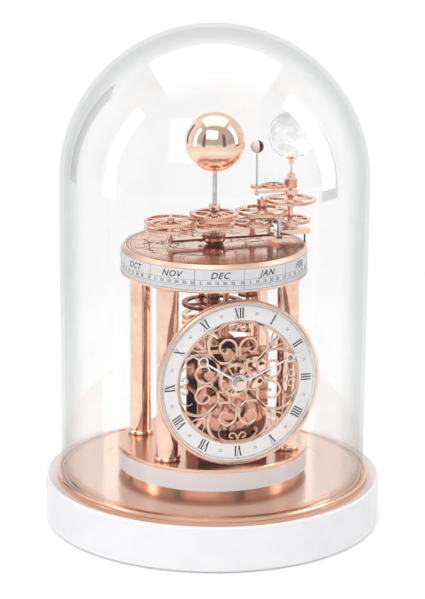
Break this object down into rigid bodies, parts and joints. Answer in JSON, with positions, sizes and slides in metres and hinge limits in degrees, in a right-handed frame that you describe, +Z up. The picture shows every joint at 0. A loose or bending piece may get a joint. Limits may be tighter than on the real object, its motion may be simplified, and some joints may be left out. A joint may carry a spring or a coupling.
{
  "type": "orrery clock",
  "caption": "Table orrery with sun, earth and moon on a geared arm over a calendar drum and an open-worked clock, under a glass dome on a round plinth.",
  "frame": {"origin": "centre of the face that rests on the table, under the plinth", "axes": "+Z up through the sun's rod and the dome's axis, -Y the way the clock face looks, +X the way the orrery's arm points at rest"},
  "size_m": [0.28, 0.28, 0.417],
  "materials": {
    "felt": "dense felt",
    "lacquer": "satin white lacquer",
    "enamel": "white enamel",
    "rose_gold": "polished rose gold plate",
    "pale_rose": "matt rose gold plate",
    "dark_rose": "dark copper plate",
    "steel": "polished steel",
    "hand_silver": "bright silvered hands",
    "blued_steel": "blued steel",
    "dome_glass": "clear blown glass",
    "crystal": "clear crystal with frosted land",
    "moon": "half silvered, half black"
  },
  "bodies": {
    "case": {"felt_pads": "felt", "plinth": "lacquer", "base_plate": "rose_gold", "drum_band": "lacquer", "drum_deck": "rose_gold", "column_front_right": "rose_gold", "column_back_right": "rose_gold", "column_back_left": "rose_gold", "column_front_left": "rose_gold", "upper_plate": "rose_gold", "calendar_ring": "lacquer", "calendar_rim": "pale_rose", "star_plate": "rose_gold", "hanging_frame": "rose_gold", "fixed_post": "rose_gold", "fixed_gears": "rose_gold", "sun_rod": "steel", "sun_ball": "rose_gold", "sun_collar": "rose_gold", "movement_plates": "rose_gold", "movement_pillars": "rose_gold", "movement_block": "dark_rose", "dial_arms": "pale_rose", "bezel": "rose_gold", "chapter_ring": "enamel", "fretwork": "pale_rose", "escapement_platform": "rose_gold"},
    "dome": {"dome_side": "dome_glass", "dome_crown": "dome_glass"},
    "arm": {"arm_bar": "rose_gold", "arm_hub": "dark_rose", "annual_wheel": "dark_rose", "arm_posts": "rose_gold", "bridge": "steel", "earth_post": "rose_gold", "fixed_pinion": "rose_gold", "date_pointer": "blued_steel"},
    "left_pair": {"left_wheels": "rose_gold"},
    "idler": {"idler_wheel": "rose_gold"},
    "axis_keeper": {"axis_wheel": "rose_gold"},
    "centre_drive": {"drive_sleeve": "rose_gold", "drive_wheels": "rose_gold"},
    "transfer": {"transfer_wheel": "rose_gold", "tall_pinion": "rose_gold"},
    "moon_carrier": {"moon_drive_wheel": "rose_gold", "moon_arm": "rose_gold"},
    "moon_idler": {"moon_idler": "rose_gold"},
    "moon": {"moon_gear": "rose_gold", "moon_rod": "steel", "moon_ball": "moon"},
    "earth": {"earth_spindle": "rose_gold", "crystal_ball": "crystal"},
    "drive_arbor": {"drive_arbor": "dark_rose"},
    "minute_hand": {"minute_hand": "hand_silver"},
    "hour_hand": {"hour_hand": "hand_silver"},
    "minute_wheel": {"minute_wheel": "rose_gold"},
    "centre_wheel": {"centre_wheel": "rose_gold"},
    "barrel": {"barrel": "rose_gold"},
    "third_wheel": {"third_wheel": "rose_gold"},
    "balance": {"balance_wheel": "pale_rose"}
  },
  "joints": [
    {"name": "dome_lift", "type": "slide", "parent": "case", "child": "dome", "axis": [0, 0, 1], "range_m": [0, 0.32]},
    {"name": "arm_turn", "type": "hinge", "parent": "case", "child": "arm", "pos_m": [0, 0, 0.2395], "axis": [0, 0, 1], "continuous": true},
    {"name": "left_pair_turn", "type": "hinge", "parent": "arm", "child": "left_pair", "pos_m": [-0.03775, 0, 0.2516], "axis": [0, 0, 1], "continuous": true},
    {"name": "idler_turn", "type": "hinge", "parent": "arm", "child": "idler", "pos_m": [0.03325, 0, 0.2516], "axis": [0, 0, 1], "continuous": true},
    {"name": "axis_wheel_turn", "type": "hinge", "parent": "arm", "child": "axis_keeper", "pos_m": [0.0665, 0, 0.2516], "axis": [0, 0, 1], "continuous": true},
    {"name": "moon_arm_turn", "type": "hinge", "parent": "arm", "child": "moon_carrier", "pos_m": [0.0665, 0, 0.2756], "axis": [0, 0, 1], "continuous": true},
    {"name": "centre_drive_turn", "type": "hinge", "parent": "arm", "child": "centre_drive", "pos_m": [0, 0, 0.2606], "axis": [0, 0, 1], "continuous": true},
    {"name": "transfer_turn", "type": "hinge", "parent": "arm", "child": "transfer", "pos_m": [0.0415, 0, 0.2606], "axis": [0, 0, 1], "continuous": true},
    {"name": "moon_idler_turn", "type": "hinge", "parent": "moon_carrier", "child": "moon_idler", "pos_m": [0.0515, 0, 0.2806], "axis": [0, 0, 1], "continuous": true},
    {"name": "moon_turn", "type": "hinge", "parent": "moon_carrier", "child": "moon", "pos_m": [0.0365, 0, 0.2806], "axis": [0, 0, 1], "continuous": true},
    {"name": "earth_turn", "type": "hinge", "parent": "arm", "child": "earth", "pos_m": [0.0665, 0, 0.3226], "axis": [0, 0, 1], "continuous": true},
    {"name": "drive_arbor_turn", "type": "hinge", "parent": "case", "child": "drive_arbor", "pos_m": [0.02387, -0.01647, 0.184], "axis": [0, 0, 1], "continuous": true},
    {"name": "minute_hand_turn", "type": "hinge", "parent": "case", "child": "minute_hand", "pos_m": [0, -0.06, 0.135], "axis": [0, 1, 0], "continuous": true},
    {"name": "hour_hand_turn", "type": "hinge", "parent": "case", "child": "hour_hand", "pos_m": [0, -0.06, 0.135], "axis": [0, 1, 0], "continuous": true},
    {"name": "minute_wheel_turn", "type": "hinge", "parent": "case", "child": "minute_wheel", "pos_m": [0.0175, -0.056, 0.1392], "axis": [0, 1, 0], "continuous": true},
    {"name": "centre_wheel_turn", "type": "hinge", "parent": "case", "child": "centre_wheel", "pos_m": [0, -0.04, 0.135], "axis": [0, 1, 0], "continuous": true},
    {"name": "barrel_turn", "type": "hinge", "parent": "case", "child": "barrel", "pos_m": [0, -0.042, 0.1045], "axis": [0, 1, 0], "continuous": true},
    {"name": "third_wheel_turn", "type": "hinge", "parent": "case", "child": "third_wheel", "pos_m": [0.01711, -0.033, 0.14961], "axis": [0, 1, 0], "continuous": true},
    {"name": "balance_swing", "type": "hinge", "parent": "case", "child": "balance", "pos_m": [-0.018, -0.036, 0.165], "axis": [0, 0, 1], "range_deg": [-135, 135]}
  ],
  "couplings": [
    {"joint": "left_pair_turn", "follows": "arm_turn", "ratio": 0.77647},
    {"joint": "idler_turn", "follows": "arm_turn", "ratio": 0.98507},
    {"joint": "axis_wheel_turn", "follows": "arm_turn", "ratio": -1},
    {"joint": "drive_arbor_turn", "follows": "arm_turn", "ratio": -8.6667},
    {"joint": "transfer_turn", "follows": "moon_arm_turn", "ratio": -5.25},
    {"joint": "centre_drive_turn", "follows": "moon_arm_turn", "ratio": 5.6437},
    {"joint": "moon_idler_turn", "follows": "moon_arm_turn", "ratio": 0.5},
    {"joint": "moon_turn", "follows": "moon_arm_turn", "ratio": -1},
    {"joint": "hour_hand_turn", "follows": "minute_hand_turn", "ratio": 0.083333},
    {"joint": "minute_wheel_turn", "follows": "minute_hand_turn", "ratio": -0.33333},
    {"joint": "barrel_turn", "follows": "centre_wheel_turn", "ratio": -0.12963},
    {"joint": "third_wheel_turn", "follows": "centre_wheel_turn", "ratio": -8}
  ]
}
